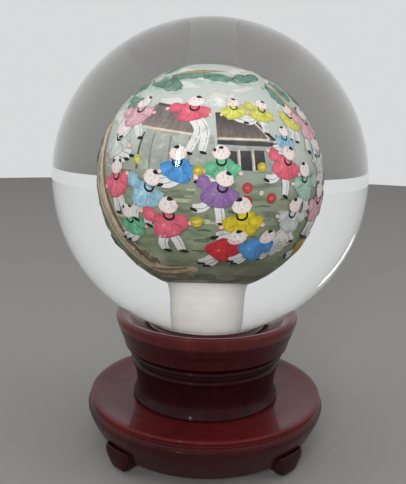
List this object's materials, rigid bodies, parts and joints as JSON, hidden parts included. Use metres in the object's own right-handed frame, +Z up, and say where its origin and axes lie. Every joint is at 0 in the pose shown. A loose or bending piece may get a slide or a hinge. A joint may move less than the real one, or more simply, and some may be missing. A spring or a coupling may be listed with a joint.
{
  "type": "crystal ball",
  "caption": "Clear glass ball painted inside its hollow, seated in a turned lacquered wood stand with a dish, a waisted pedestal and a round footed base.",
  "frame": {"origin": "centre of the circle of foot pads, on the surface that the stand rests on", "axes": "+Z up through the ball's centre, -Y towards the front"},
  "size_m": [0.12, 0.12, 0.167],
  "materials": {
    "clear_glass": "polished clear glass, ground in the bore",
    "inside_painting": "thin opaque paint seen through glass",
    "red_lacquer": "dark red lacquered wood, glossy",
    "bare_dowel": "bare beech",
    "seat_felt": "dark felt",
    "foot_felt": "black felt",
    "zinc_steel": "zinc plated steel"
  },
  "bodies": {
    "stand": {"cup": "red_lacquer", "cup_dowel": "bare_dowel", "pedestal": "red_lacquer", "base_drum": "red_lacquer", "pedestal_screw_1": "zinc_steel", "pedestal_screw_2": "zinc_steel", "pedestal_screw_3": "zinc_steel", "foot_1": "red_lacquer", "foot_pin_1": "zinc_steel", "foot_pad_1": "foot_felt", "foot_2": "red_lacquer", "foot_pin_2": "zinc_steel", "foot_pad_2": "foot_felt", "foot_3": "red_lacquer", "foot_pin_3": "zinc_steel", "foot_pad_3": "foot_felt", "foot_4": "red_lacquer", "foot_pin_4": "zinc_steel", "foot_pad_4": "foot_felt"},
    "seat_ring": {"seat_ring": "seat_felt"},
    "ball": {"glass_ball": "clear_glass", "painted_lining": "inside_painting"}
  },
  "joints": [
    {"name": "ball_turn", "type": "hinge", "parent": "stand", "child": "seat_ring", "pos_m": [0, 0, 0.05], "axis": [0, 0, 1], "continuous": true},
    {"name": "ball_lift", "type": "slide", "parent": "seat_ring", "child": "ball", "axis": [0, 0, 1], "range_m": [0, 0.07]}
  ]
}
